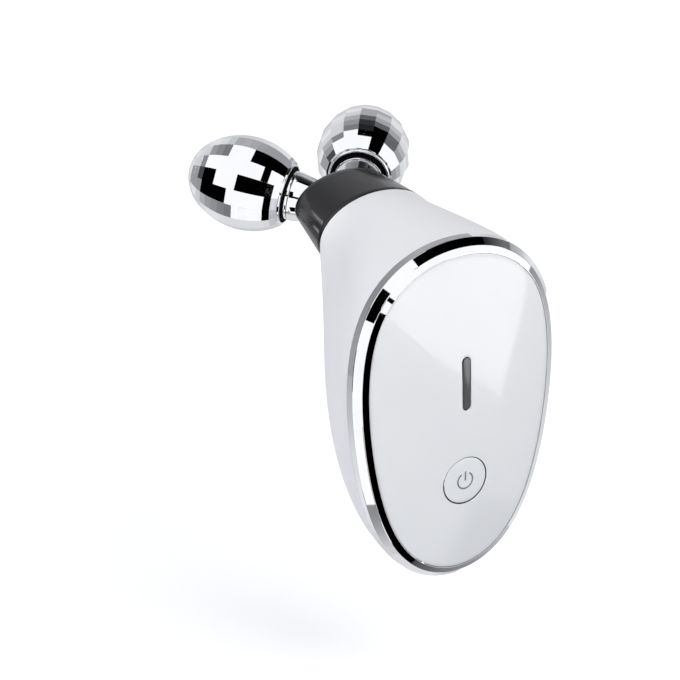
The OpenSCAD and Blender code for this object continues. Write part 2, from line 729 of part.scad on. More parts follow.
// Retaining clip, open on one side so that it pushes onto the groove
module clip(side) centred() color("#6F7278") on_axle(side) difference() {
    rod(axle_d + 2.4, clip_z + slip, clip_z + clip_t - slip);
    rod(groove_d + 2*slip, clip_z - over, clip_z + clip_t + over);
    translate([-groove_d*0.4, 0, clip_z - over]) cube([groove_d*0.8, axle_d + 2, clip_t + 2*over]);
}

module sleeve(side) centred() color("#ECECEC") on_axle(side)
    ring_rod(2*sleeve_r, axle_d + 2*slip, sleeve_root, seal_z);

module spacer(side) centred() color("#D8D8D8") on_axle(side)
    ring_rod(2*spacer_r, axle_d + 2*slip, seal_z, hub_z - bush_flange_t - clip_gap);

module seal(side) centred() color("#141416") on_axle(side)
    ring_rod(seal_d, 2*spacer_r + 2*slip, seal_z, seal_z + seal_t);

module left_roller() roller(-1);
module right_roller() roller(1);
module left_collar() collar(-1);
module right_collar() collar(1);
module left_hub() hub(-1);
module right_hub() hub(1);
module left_inner_bush() inner_bush(-1);
module right_inner_bush() inner_bush(1);
module left_outer_bush() outer_bush(-1);
module right_outer_bush() outer_bush(1);
module left_axle() axle(-1);
module right_axle() axle(1);
module left_clip() clip(-1);
module right_clip() clip(1);
module left_sleeve() sleeve(-1);
module right_sleeve() sleeve(1);
module left_spacer() spacer(-1);
module right_spacer() spacer(1);
module left_seal() seal(-1);
module right_seal() seal(1);

body_shell();
trim_ring();
front_cover();
light_window();
light_guide();
power_button();
inner_frame();
frame_screws();
circuit_board();
board_screws();
circuit_chips();
boost_coil();
led_row();
tact_switch();
switch_plunger();
charging_socket();
battery_foam();
battery_cell();
battery_board();
battery_plug();
battery_leads();
electrode_leads();
neck_cap();
yoke();
yoke_screws();
left_roller();
right_roller();
left_collar();
right_collar();
left_hub();
right_hub();
left_inner_bush();
right_inner_bush();
left_outer_bush();
right_outer_bush();
left_axle();
right_axle();
left_clip();
right_clip();
left_sleeve();
right_sleeve();
left_spacer();
right_spacer();
left_seal();
right_seal();
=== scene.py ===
import json
import math

import bmesh
import bpy
from mathutils import Matrix, Vector
from mathutils.bvhtree import BVHTree


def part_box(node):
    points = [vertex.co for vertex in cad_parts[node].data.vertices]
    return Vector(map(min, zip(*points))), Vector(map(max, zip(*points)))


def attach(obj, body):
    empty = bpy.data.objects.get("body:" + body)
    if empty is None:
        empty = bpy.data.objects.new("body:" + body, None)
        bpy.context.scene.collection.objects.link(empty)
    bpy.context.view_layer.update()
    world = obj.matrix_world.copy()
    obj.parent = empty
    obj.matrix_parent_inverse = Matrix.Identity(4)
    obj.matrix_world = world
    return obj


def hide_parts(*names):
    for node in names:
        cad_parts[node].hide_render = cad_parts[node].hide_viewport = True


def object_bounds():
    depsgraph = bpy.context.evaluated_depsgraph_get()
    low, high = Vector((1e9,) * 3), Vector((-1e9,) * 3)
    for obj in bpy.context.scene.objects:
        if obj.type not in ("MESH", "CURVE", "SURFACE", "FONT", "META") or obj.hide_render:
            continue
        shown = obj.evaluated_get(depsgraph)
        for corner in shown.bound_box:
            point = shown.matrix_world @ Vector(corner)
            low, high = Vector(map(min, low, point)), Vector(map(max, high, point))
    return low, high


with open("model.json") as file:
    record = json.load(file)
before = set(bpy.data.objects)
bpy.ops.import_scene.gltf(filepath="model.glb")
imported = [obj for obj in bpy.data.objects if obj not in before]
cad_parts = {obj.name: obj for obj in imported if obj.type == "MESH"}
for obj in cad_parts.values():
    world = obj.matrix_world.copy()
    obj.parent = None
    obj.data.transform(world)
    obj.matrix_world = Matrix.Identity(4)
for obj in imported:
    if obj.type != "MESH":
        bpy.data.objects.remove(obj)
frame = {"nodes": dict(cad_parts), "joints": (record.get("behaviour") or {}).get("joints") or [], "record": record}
cadBounds = [list(corner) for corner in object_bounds()]
print("frame loaded:", len(frame["nodes"]), "nodes")

# Sizes are in mm unless a note says otherwise. They start from the face's own place in the frame:
# the seam between ring and shell, at the middle of the face's height
mm = 0.001
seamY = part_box("body_shell")[0].y
ringLow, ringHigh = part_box("trim_ring")
faceMiddle = Vector((0, seamY, (ringLow.z + ringHigh.z) / 2))

tolerance = {
    "spinMerge": 0.002,  # points of a turned piece that are one point
    "sliver": 0.0005,
    "rimSliver": 0.001,
    "nodeWeld": 0.001,
    "nodeSharp": 30,  # degrees
}


def place(x, y, z):
    return faceMiddle + Vector((x, y, z)) * mm


def hexColour(code):
    code = code.lstrip("#")
    parts = [int(code[i:i + 2], 16) / 255 for i in (0, 2, 4)]
    return tuple(p / 12.92 if p <= 0.04045 else ((p + 0.055) / 1.055) ** 2.4 for p in parts) + (1.0,)


def addNode(tree, kind, inputs=None, **settings):
    # an input is a value, an output socket, or a node, whose first output is linked
    node = tree.nodes.new("ShaderNode" + kind)
    for key, value in settings.items():
        setattr(node, key, value)
    for key, value in (inputs or {}).items():
        if isinstance(value, bpy.types.Node):
            value = value.outputs[0]
        if isinstance(value, bpy.types.NodeSocket):
            tree.links.new(value, node.inputs[key])
        else:
            node.inputs[key].default_value = value
    return node


def startMaterial(name, colour, values):
    material = bpy.data.materials.new(name)
    material.use_nodes = True
    material.diffuse_color = hexColour(colour)
    shader = material.node_tree.nodes["Principled BSDF"]
    shader.inputs["Base Color"].default_value = hexColour(colour)
    for key, value in values.items():
        shader.inputs[key].default_value = value
    return material, shader


def setStops(ramp, stops):
    elements = ramp.color_ramp.elements
    for element, (position, colour) in zip(elements, (stops[0], stops[-1])):
        element.position = position
        element.color = hexColour(colour)
    for position, colour in stops[1:-1]:
        elements.new(position).color = hexColour(colour)


def unevenPatches(tree, size, detail):
    # patches about size wide
    point = addNode(tree, "TexCoord").outputs["Object"]
    return addNode(tree, "TexNoise", {"Vector": point, "Scale": 1 / (size * mm), "Detail": detail})


def varyColour(shader, dark, light, size):
    # soft change of tone across the piece
    tree = shader.id_data
    ramp = addNode(tree, "ValToRGB", {"Fac": unevenPatches(tree, size, 3.0)})
    setStops(ramp, ((0.3, dark), (0.7, light)))
    tree.links.new(ramp.outputs["Color"], shader.inputs["Base Color"])


def varyRoughness(shader, low, high, size):
    tree = shader.id_data
    patches = unevenPatches(tree, size, 4.0)
    span = addNode(tree, "MapRange", {
        "Value": patches, "From Min": 0.3, "From Max": 0.7, "To Min": low, "To Max": high})
    tree.links.new(span.outputs["Result"], shader.inputs["Roughness"])


def addGrain(shader, size, depth, strength):
    # bump of grains that are size wide and depth deep
    tree = shader.id_data
    bump = addNode(tree, "Bump", {
        "Height": unevenPatches(tree, size, 2.0), "Distance": depth * mm, "Strength": strength})
    tree.links.new(bump.outputs["Normal"], shader.inputs["Normal"])


def satinLacqueredAbs():
    # moulded ABS under a satin lacquer: broad soft highlights over a very fine grain
    material, shader = startMaterial("satinLacqueredAbs", "#E7E7EB", {"Roughness": 0.42, "IOR": 1.5})
    varyColour(shader, "#E5E5EA", "#E9E9EC", 22)
    varyRoughness(shader, 0.38, 0.46, 6)
    addGrain(shader, 0.5, 0.003, 0.4)  # real grain is 0.1 mm, drawn coarser so that it shows
    return material


def polishedAbs():
    # ABS from a polished mould under clear lacquer: sharp reflections with a slight orange peel
    material, shader = startMaterial("polishedAbs", "#EFEFF3", {
        "Roughness": 0.16, "IOR": 1.5, "Coat Weight": 0.6, "Coat Roughness": 0.03})
    varyColour(shader, "#EDEEF0", "#F0F1F2", 30)
    addGrain(shader, 5, 0.004, 0.3)
    return material


def chromePlate():
    # bright chromium over polished nickel: a near mirror with faint wiping marks
    material, shader = startMaterial("chromePlate", "#F0F1F3", {"Metallic": 1.0, "Roughness": 0.03})
    varyColour(shader, "#EDEEF1", "#F3F4F6", 8)
    varyRoughness(shader, 0.015, 0.05, 2.5)
    return material


def glossDarkAbs():
    # dark grey gloss ABS: deep body colour, clear soft-edged reflections
    material, shader = startMaterial("glossDarkAbs", "#1D1D1F", {
        "Roughness": 0.25, "IOR": 1.5, "Specular IOR Level": 0.3,
        "Coat Weight": 0.35, "Coat Roughness": 0.05})
    varyColour(shader, "#1B1B1D", "#202022", 10)
    addGrain(shader, 3, 0.003, 0.3)
    return material


def smokedPolycarbonate():
    # smoked PC over a milky light guide: dark, and a little lighter at the top, where a highlight is painted into
    # its colour
    material, shader = startMaterial("smokedPolycarbonate", "#4A4B50", {"Roughness": 0.12, "IOR": 1.58})
    tree = material.node_tree
    low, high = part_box("light_window")
    point = addNode(tree, "TexCoord").outputs["Object"]
    parts = addNode(tree, "SeparateXYZ", {"Vector": point})
    along = addNode(tree, "MapRange", {"Value": parts.outputs["Z"], "From Min": low.z, "From Max": high.z})
    # painted highlight: the tone is lighter towards the top
    ramp = addNode(tree, "ValToRGB", {"Fac": along})
    setStops(ramp, ((0.0, "#37383C"), (0.45, "#333438"), (1.0, "#515155")))
    # a black border painted round the window as the shade of the opening's walls, which starts and ends at these
    # distances from the window's middle line
    shadeStart, shadeFull = 0.72, 0.88
    middle = (low.z + high.z) / 2
    straight = (high.z - low.z - (high.x - low.x)) / 2
    fromMiddle = addNode(tree, "Math", {0: parts.outputs["Z"], 1: middle}, operation="SUBTRACT")
    upward = addNode(tree, "Math", {0: fromMiddle}, operation="ABSOLUTE")
    past = addNode(tree, "Math", {0: upward, 1: straight}, operation="SUBTRACT")
    beyond = addNode(tree, "Math", {0: past, 1: 0.0}, operation="MAXIMUM")
    flat = addNode(tree, "CombineXYZ", {"X": parts.outputs["X"], "Z": beyond})
    away = addNode(tree, "VectorMath", {0: flat}, operation="LENGTH")
    edgeShade = addNode(tree, "MapRange", {
        "Value": away.outputs["Value"], "From Min": shadeStart * mm, "From Max": shadeFull * mm})
    tone = addNode(tree, "Mix", {0: edgeShade, 6: ramp, 7: hexColour("#101012")}, data_type="RGBA")
    tree.links.new(tone.outputs[2], shader.inputs["Base Color"])
    return material


def nitrileRubber():
    # moulded black rubber: matt, with a faint powdery bloom
    material, shader = startMaterial("nitrileRubber", "#0C0C0D", {
        "Roughness": 0.7, "Specular IOR Level": 0.08})
    varyColour(shader, "#08080A", "#0E0E10", 1.5)
    addGrain(shader, 0.3, 0.01, 0.5)
    return material


def engravedSignShade():
    # grey lines in the power sign's shape, painted as the shade of an engraved sign: thin, slightly matt
    material, shader = startMaterial("engravedSignShade", "#7B7D83", {"Roughness": 0.5})
    varyColour(shader, "#72747A", "#85878D", 0.6)
    return material


def gapShadeAbs():
    # dark plastic on the walls of the button's opening and on the button's side: painted shade for the narrow gap
    material, shader = startMaterial("gapShadeAbs", "#2E2F32", {"Roughness": 0.6})
    addGrain(shader, 0.4, 0.01, 0.5)
    return material


def platedSteel(name, colour):
    # drawn and plated steel: a soft metal shine with fine uneven marks
    material, shader = startMaterial(name, colour, {"Metallic": 1.0, "Roughness": 0.3})
    varyRoughness(shader, 0.22, 0.38, 0.4)
    addGrain(shader, 0.2, 0.004, 0.5)
    return material


def turnedBrass():
    # turned brass: warm metal, slightly uneven from the tool
    material, shader = startMaterial("turnedBrass", "#C9A85E", {"Metallic": 1.0, "Roughness": 0.25})
    varyRoughness(shader, 0.18, 0.32, 0.5)
    return material


def solderMask():
    # green solder mask on glass-epoxy board: glossy lacquer, faintly uneven
    material, shader = startMaterial("solderMask", "#1F6B3A", {"Roughness": 0.3})
    varyColour(shader, "#1B6335", "#247543", 1.0)
    addGrain(shader, 0.25, 0.01, 0.5)
    return material


def mouldedPlastic(name, colour, roughness=0.5):
    # plain moulded part: even colour with a fine spark-eroded grain
    material, shader = startMaterial(name, colour, {"Roughness": roughness})
    varyRoughness(shader, roughness - 0.06, roughness + 0.06, 0.8)
    addGrain(shader, 0.25, 0.01, 0.5)
    return material


def laminateFoil():
    # aluminium laminate pouch: soft metal with shallow dents
    material, shader = startMaterial("laminateFoil", "#C2C5CA", {"Metallic": 1.0, "Roughness": 0.35})
    addGrain(shader, 4, 0.08, 0.4)
    return material


satin = satinLacqueredAbs()
polished = polishedAbs()
chrome = chromePlate()
glossDark = glossDarkAbs()
smoked = smokedPolycarbonate()
rubber = nitrileRubber()
signShade = engravedSignShade()
gapShade = gapShadeAbs()

# What each CAD node is made of, by its slot in the record
slotFinish = {
    "shell_white": satin,
    "ring_chrome": chrome,
    "cover_white": polished,
    "window_smoke": smoked,
    "guide_clear": mouldedPlastic("milkyPolycarbonate", "#EFEFEA", 0.3),
    "frame_grey": mouldedPlastic("mouldedFrameAbs", "#B9BCC2"),
    "screw_steel": platedSteel("zincPlatedSteel", "#9EA2A8"),
    "board_green": solderMask(),
    "chip_black": mouldedPlastic("mouldedEpoxy", "#232427", 0.45),
    "coil_ferrite": mouldedPlastic("sinteredFerrite", "#3A3531", 0.7),
    "led_white": mouldedPlastic("clearResin", "#F0F0E4", 0.2),
    "socket_steel": platedSteel("nickelPlatedSteel", "#B9BCC1"),
    "foam_dark": mouldedPlastic("foamTape", "#3F4043", 0.9),
    "cell_foil": laminateFoil(),
    "plug_ivory": mouldedPlastic("ivoryNylon", "#EDE9DC", 0.4),
    "lead_sleeve": mouldedPlastic("siliconeSleeve", "#9A2A22", 0.45),
    "cap_dark": glossDark,
    "yoke_chrome": chrome,
    "roller_chrome": chrome,
    "hub_brass": turnedBrass(),
    "axle_steel": platedSteel("groundSteel", "#B4B8BE"),
    "sleeve_nylon": mouldedPlastic("naturalNylon", "#ECECEC", 0.4),
    "seal_black": rubber,
}
slotOf = {entry["node"]: entry["material_slot"] for entry in frame["record"]["subparts"]}
for name, node in frame["nodes"].items():
    node.data.materials.clear()
    node.data.materials.append(slotFinish[slotOf[name]])
print("materials made:", len(bpy.data.materials))

face = {
    "halfWidth": 26.2, "halfHeight": 40.7,
    "lean": 0.145, "full": 0.206,  # how the egg differs from an oval
}


def eggPoint(halfWidth, halfHeight, fade, turn, inset=0.0):
    # a point of the egg outline, moved inwards by inset; fade 0 gives a plain oval
    lean, full = face["lean"] * fade, face["full"] * fade
    c, s = math.cos(turn), math.sin(turn)
    g = 1 + lean * c + full * c * c
    dx = halfWidth * (c * g - s * s * (lean + 2 * full * c))
    dz = -halfHeight * s
    n = math.hypot(dx, dz)
    return halfWidth * s * g + inset * dz / n, halfHeight * c - inset * dx / n


def facePoint(turn, inset, y, scale=1.0):
    x, z = eggPoint(face["halfWidth"], face["halfHeight"], 1, turn, inset)
    return place(x * scale, y, z * scale)


def curve(a, b, c, d, s):
    # from a to d, leaving towards b and arriving from c
    return a * (1 - s) ** 3 + 3 * b * s * (1 - s) ** 2 + 3 * c * s * s * (1 - s) + d * s ** 3


def roundedEdge(radius, turns):
    # steps round a quarter circle, as the distances that are left to its two sides
    return [(radius * (1 - math.sin(turn)), radius * (1 - math.cos(turn))) for turn in turns]


def newVerts(made):
    return [g for g in made["geom"] if isinstance(g, bmesh.types.BMVert)]


def edgesOf(bm, verts):
    members = set(verts)
    return [e for e in bm.edges if e.verts[0] in members and e.verts[1] in members]


def closeLoop(bm, loop):
    bmesh.ops.contextual_create(bm, geom=edgesOf(bm, loop))


def carryLoop(bm, stations, count, closed=False):
    # one circle of vertices, extruded from station to station; a station maps a turn to a point
    turnOf = bm.verts.layers.int.new("turn")
    loops = [bmesh.ops.create_circle(bm, cap_ends=False, segments=count, radius=1.0)["verts"]]
    for i, vert in enumerate(loops[0]):
        vert[turnOf] = i
    for _ in stations[1:]:
        loops.append(newVerts(bmesh.ops.extrude_edge_only(bm, edges=edgesOf(bm, loops[-1]))))
    for station, loop in zip(stations, loops):
        for vert in loop:
            vert.co = station(2 * math.pi * vert[turnOf] / count)
    if closed:
        ends = set(loops[0]), set(loops[-1])
        edges = [e for e in bm.edges if any(e.verts[0] in end and e.verts[1] in end for end in ends)]
        bmesh.ops.bridge_loops(bm, edges=edges)
    return loops


def carrySolid(bm, stations, count):
    # the same, with a face at both ends
    loops = carryLoop(bm, stations, count)
    closeLoop(bm, loops[0])
    closeLoop(bm, loops[-1])


def spinProfile(bm, profile, count):
    # profile is a closed outline of (radius, height), spun round Z
    verts = [bm.verts.new((r * mm, 0, z * mm)) for r, z in profile]
    edges = [bm.edges.new(pair) for pair in zip(verts, verts[1:] + verts[:1])]
    bmesh.ops.spin(
        bm, geom=verts + edges, cent=(0, 0, 0), axis=(0, 0, 1), angle=2 * math.pi,
        steps=count, use_merge=True, use_duplicate=False)
    bmesh.ops.remove_doubles(bm, verts=bm.verts, dist=tolerance["spinMerge"] * mm)


def bevelEdges(bm, edges, width, segments):
    bmesh.ops.bevel(
        bm, geom=edges, offset=width * mm, offset_type="OFFSET", affect="EDGES",
        segments=segments, profile=0.5, material=-1, clamp_overlap=True)


def softenEdges(bm, width, limit, segments=2):
    sharp = [e for e in bm.edges if len(e.link_faces) == 2 and e.calc_face_angle(0) > math.radians(limit)]
    bevelEdges(bm, sharp, width, segments)


def obround(bm, length, width, count):
    # the outline of an upright slot in the XZ plane, drawn from a circle whose halves are pulled apart
    verts = bmesh.ops.create_circle(bm, cap_ends=True, segments=count * 2, radius=width / 2 * mm)["verts"]
    bmesh.ops.rotate(bm, verts=verts, cent=(0, 0, 0), matrix=Matrix.Rotation(math.radians(90), 3, "X"))
    for vert in verts:
        vert.co.z += math.copysign((length - width) / 2 * mm, vert.co.z)
    return set(verts)


def barOf(bm, verts, depth):
    # pushes a flat outline along Y by depth
    faces = [f for f in bm.faces if all(v in verts for v in f.verts)]
    made = bmesh.ops.extrude_face_region(bm, geom=faces)
    bmesh.ops.translate(bm, verts=newVerts(made), vec=(0, depth * mm, 0))


def openingCutter(x, z, length, width, y, depth, count=24):
    # runs along Y from y; with length equal to width it is round
    cutter = bmesh.new()
    barOf(cutter, obround(cutter, length, width, count), depth)
    bmesh.ops.translate(cutter, verts=cutter.verts, vec=place(x, y, z))
    return cutter


def addObject(name, data):
    made = bpy.data.objects.new(name, data)
    bpy.context.scene.collection.objects.link(made)
    return made


def meshObject(name, bm):
    mesh = bpy.data.meshes.new(name)
    bm.to_mesh(mesh)
    bm.free()
    return addObject(name, mesh)


def finishPiece(name, bm, material, body, stands, sharp=35, flat=False):
    bmesh.ops.recalc_face_normals(bm, faces=bm.faces)
    for f in bm.faces:
        f.smooth = not flat
    for e in bm.edges:
        if e.calc_face_angle(0) > math.radians(sharp):
            e.smooth = False
    piece = meshObject(name, bm)
    piece.data.materials.append(material)
    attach(piece, body)
    if stands:
        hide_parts(*stands)
    return piece


def applyModifiers(piece):
    graph = bpy.context.evaluated_depsgraph_get()
    mesh = bpy.data.meshes.new_from_object(piece.evaluated_get(graph))
    old = piece.data
    piece.modifiers.clear()
    piece.data = mesh
    mesh.name = old.name
    bpy.data.meshes.remove(old)


def cutWith(piece, cutters):
    for cutter in cutters:
        bmesh.ops.recalc_face_normals(cutter, faces=cutter.faces)
        tool = meshObject("cutter", cutter)
        modifier = piece.modifiers.new("cut", "BOOLEAN")
        modifier.object = tool
        modifier.solver = "EXACT"
        applyModifiers(piece)
        bpy.data.meshes.remove(tool.data)


def sharpenByAngle(piece, limit):
    bm = bmesh.new()
    bm.from_mesh(piece.data)
    bmesh.ops.dissolve_degenerate(bm, dist=tolerance["sliver"] * mm, edges=bm.edges)
    for f in bm.faces:
        f.smooth = True
    for e in bm.edges:
        e.smooth = e.calc_face_angle(0) < math.radians(limit)
    bm.to_mesh(piece.data)
    bm.free()


shell = {
    "depth": 29.2, "wall": 1.8,
    "neckWidth": 30.2, "neckHeight": 19.6, "neckZ": 31.5,
    "topSwell": (0.4, 1.6), "heelLift": (4.0, 8.0), "sideSwell": (2.7, 3.6), "eggFade": 0.8,
    "steps": 44, "count": 144,
    "skinEnd": 0.985,  # share of the depth where the outer skin meets the neck's rounded end
    "lip": 0.3, "lipTurns": (0.3, 0.8, 1.2, math.pi / 2),
    "padInset": 2.2, "padHeight": 1.5,  # the pad that locates the neck cap
    "wireHole": 5.0, "screwHole": 2.7, "screwX": 7.2, "screwZ": 34.0, "holePast": 1,
    "portWidth": 9.54, "portHeight": 3.8, "portY": 6.3, "portPast": 2, "portDepth": 9,
}


def shellPoint(s, wall):
    # the outline at share s of the way from the face to the neck
    halfH = face["halfHeight"]
    neckTop = shell["neckZ"] + shell["neckHeight"] / 2
    neckLow = shell["neckZ"] - shell["neckHeight"] / 2
    top = curve(halfH, halfH + shell["topSwell"][0], neckTop + shell["topSwell"][1], neckTop, s)
    low = curve(-halfH, shell["heelLift"][0] - halfH, shell["heelLift"][1] - halfH, neckLow, s)
    side = curve(face["halfWidth"], face["halfWidth"] + shell["sideSwell"][0],
                 shell["neckWidth"] / 2 + shell["sideSwell"][1], shell["neckWidth"] / 2, s)

    def station(turn):
        x, z = eggPoint(side, (top - low) / 2, (1 - s) ** shell["eggFade"], turn, wall)
        return place(x, s * (shell["depth"] - wall), (top + low) / 2 + z)
    return station


def neckEnd(inset, y):
    def station(turn):
        x, z = eggPoint(shell["neckWidth"] / 2, shell["neckHeight"] / 2, 0, turn, inset)
        return place(x, y, shell["neckZ"] + z)
    return station


def portCutter():
    # a slot that lies across the heel and runs up along Z
    port = bmesh.new()
    height = shell["portHeight"]
    verts = bmesh.ops.create_circle(port, cap_ends=True, segments=64, radius=height / 2 * mm)["verts"]
    for vert in verts:
        vert.co.x += math.copysign((shell["portWidth"] - height) / 2 * mm, vert.co.x)
    start = place(0, shell["portY"], -face["halfHeight"] - shell["portPast"])
    bmesh.ops.translate(port, verts=verts, vec=start)
    made = bmesh.ops.extrude_face_region(port, geom=list(port.faces))
    bmesh.ops.translate(port, verts=newVerts(made), vec=(0, 0, shell["portDepth"] * mm))
    return port


def buildShell():
    bm = bmesh.new()
    depth, wall, pad = shell["depth"], shell["wall"], shell["padInset"]
    steps = [k / shell["steps"] for k in range(shell["steps"] + 1)]
    inner = [shellPoint(s, wall) for s in reversed(steps)]
    outer = [shellPoint(s, 0) for s in steps if s < shell["skinEnd"]]
    # the neck's end turns in over a small radius, and the pad stands on it
    end = [neckEnd(inward, depth - back) for back, inward in roundedEdge(shell["lip"], shell["lipTurns"])]
    end += [neckEnd(pad, depth), neckEnd(pad, depth + shell["padHeight"])]
    carrySolid(bm, inner + outer + end, shell["count"])
    piece = finishPiece("bodyShell", bm, satin, "body", ["body_shell"])
    start = depth - wall - shell["holePast"]
    length = wall + shell["padHeight"] + 2 * shell["holePast"]
    holes = [(0, shell["neckZ"], shell["wireHole"])]
    holes += [(side * shell["screwX"], shell["screwZ"], shell["screwHole"]) for side in (-1, 1)]
    cutWith(piece, [portCutter()] + [openingCutter(x, z, wide, wide, start, length) for x, z, wide in holes])
    sharpenByAngle(piece, 35)


buildShell()
print("shell built")

ring = {
    "side": 2.2, "bevels": ((1.45, 1.7), (1.53, 0.75)),  # each bevel's width inwards and rise
    "ledge": 1.6, "ledgeBack": 1.45, "seat": 1.8,
    "spigotIn": 1.9, "spigotWall": 1.2, "spigotLength": 2.4,
    "edgeRadius": 0.09, "count": 240,
}
ring["inner"] = ring["bevels"][0][0] + ring["bevels"][1][0]
ring["front"] = ring["side"] + ring["bevels"][0][1] + ring["bevels"][1][1]
ring["seatFront"] = ring["front"] - ring["seat"]


def buildRing():
    bm = bmesh.new()
    spigotFar = ring["spigotIn"] + ring["spigotWall"]
    ledgeIn = ring["inner"] + ring["ledge"]
    section = [
        (ring["inner"], -ring["front"]), (ring["bevels"][0][0], -ring["side"] - ring["bevels"][0][1]),
        (0, -ring["side"]), (0, 0), (ring["spigotIn"], 0), (ring["spigotIn"], ring["spigotLength"]),
        (spigotFar, ring["spigotLength"]), (spigotFar, -ring["ledgeBack"]), (ledgeIn, -ring["ledgeBack"]),
        (ledgeIn, -ring["seatFront"]), (ring["inner"], -ring["seatFront"]),
    ]
    stations = [lambda turn, p=p: facePoint(turn, p[0], p[1]) for p in section]
    carryLoop(bm, stations, ring["count"], closed=True)
    softenEdges(bm, ring["edgeRadius"], 15)
    finishPiece("trimRing", bm, chrome, "body", ["trim_ring"], sharp=5.5)


buildRing()
print("trim ring built")

cover = {
    "rise": 3.038, "gap": 0.12, "wallGap": 0.1,
    "edgeRadius": 0.25, "edgeTurns": (0.25, 0.7, 1.15, math.pi / 2),
    "count": 240, "rings": 40, "innerRings": 8,
    "pole": 0.004,  # the smallest loop, as a share of the face
    "buttonHole": 11.6, "buttonDrop": 15.7,
    "slotLength": 12.9, "slotWidth": 2.4, "slotZ": 8.0,
    "cutterLength": 12, "holeCount": 64, "slotCount": 32, "lip": 0.15, "lipSegments": 3,
}
# The same dome as a plain surface, which tells where a piece meets the cover's front
probe = {"count": 180, "rings": 60, "start": -40}


def domeStation(r, inset, base):
    y = -(base + cover["rise"] * (1 - r * r))
    return lambda turn: facePoint(turn, inset, y, max(r, cover["pole"]))


def domeSurface():
    bm = bmesh.new()
    inset = ring["inner"] + cover["gap"]
    rings = probe["rings"]
    stations = [domeStation(k / rings, inset, ring["front"]) for k in range(1, rings + 1)]
    closeLoop(bm, carryLoop(bm, stations, probe["count"])[0])
    tree = BVHTree.FromBMesh(bm)
    bm.free()
    return tree


dome = domeSurface()


def onDome(x, z):
    # how far along Y the cover's outer surface lies at x and z
    hit = dome.ray_cast(place(x, probe["start"], z), Vector((0, 1, 0)))[0]
    return (hit.y - seamY) / mm


def buildCover():
    bm = bmesh.new()
    inset = ring["inner"] + cover["gap"]
    rings, innerRings = cover["rings"], cover["innerRings"]
    outer = [domeStation(k / rings, inset, ring["front"]) for k in range(rings)]
    edge = [lambda turn, a=a, b=b: facePoint(turn, inset + a, b - ring["front"])
            for a, b in roundedEdge(cover["edgeRadius"], cover["edgeTurns"])]
    back = [lambda turn: facePoint(turn, inset, -ring["seatFront"])]
    innerInset = ring["inner"] + ring["ledge"] + cover["wallGap"]
    inner = [domeStation(k / innerRings, innerInset, ring["seatFront"]) for k in range(innerRings, -1, -1)]
    carrySolid(bm, outer + edge + back + inner, cover["count"])
    piece = finishPiece("frontCover", bm, polished, "body", ["front_cover"])
    deep, wide = cover["cutterLength"], cover["buttonHole"]
    cutWith(piece, [
        openingCutter(0, -cover["buttonDrop"], wide, wide, -deep, deep, cover["holeCount"]),
        openingCutter(
            0, cover["slotZ"], cover["slotLength"], cover["slotWidth"], -deep, deep, cover["slotCount"]),
    ])
    softenOpenings(piece)


def softenOpenings(piece):
    # a small radius round both openings, and walls in the button's opening painted dark as shade in the gap
    beside, onSkin, pastEdge = 0.05, 0.03, 0.4
    rimAngle, wallTilt = math.radians(50), 0.3
    bm = bmesh.new()
    bm.from_mesh(piece.data)
    bmesh.ops.dissolve_degenerate(bm, dist=tolerance["rimSliver"] * mm, edges=bm.edges)
    rims = []
    for e in bm.edges:
        middle = (e.verts[0].co + e.verts[1].co) / 2 - faceMiddle
        x, y, z = middle / mm
        nearButton = abs(math.hypot(x, z + cover["buttonDrop"]) - cover["buttonHole"] / 2) < beside
        nearSlot = (abs(x) < cover["slotWidth"] / 2 + beside
                    and abs(z - cover["slotZ"]) < cover["slotLength"] / 2 + beside)
        onFront = y < -ring["front"] - pastEdge and abs(y - onDome(x, z)) < onSkin
        if onFront and (nearButton or nearSlot) and e.calc_face_angle(0) > rimAngle:
            rims.append(e)
    bevelEdges(bm, rims, cover["lip"], cover["lipSegments"])
    piece.data.materials.append(gapShade)
    for f in bm.faces:
        x, y, z = (f.calc_center_median() - faceMiddle) / mm
        inHole = math.hypot(x, z + cover["buttonDrop"]) < cover["buttonHole"] / 2 + beside
        # the hole's walls take the dark material: painted shade in the gap
        if inHole and abs(f.normal.y) < wallTilt and y > onDome(x, z) + cover["lip"]:
            f.material_index = 1
    bm.to_mesh(piece.data)
    bm.free()
    sharpenByAngle(piece, 30)


buildCover()
print("cover built")

window = {"slack": 0.03, "edge": 0.2, "lipWide": 0.8, "lipThick": 0.8, "count": 24}


def buildWindow():
    bm = bmesh.new()
    low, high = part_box("light_window")
    middleZ = place(0, 0, cover["slotZ"]).z
    slack, lipWide, lipThick = window["slack"], window["lipWide"], window["lipThick"]
    pane = obround(bm, cover["slotLength"] - 2 * slack, cover["slotWidth"] - 2 * slack, window["count"])
    barOf(bm, pane, (high.y - low.y) / mm - lipThick / 2)
    bmesh.ops.translate(bm, verts=bm.verts, vec=(0, low.y, middleZ))
    softenEdges(bm, window["edge"], 60, segments=3)
    # the lip behind the cover, which keeps the pane from falling out
    lip = obround(bm, cover["slotLength"] + 2 * lipWide, cover["slotWidth"] + 2 * lipWide, window["count"])
    bmesh.ops.translate(bm, verts=list(lip), vec=(0, high.y - lipThick * mm, middleZ))
    barOf(bm, lip, lipThick)
    finishPiece("lightWindow", bm, smoked, "body", ["light_window"])


buildWindow()
print("light window built")

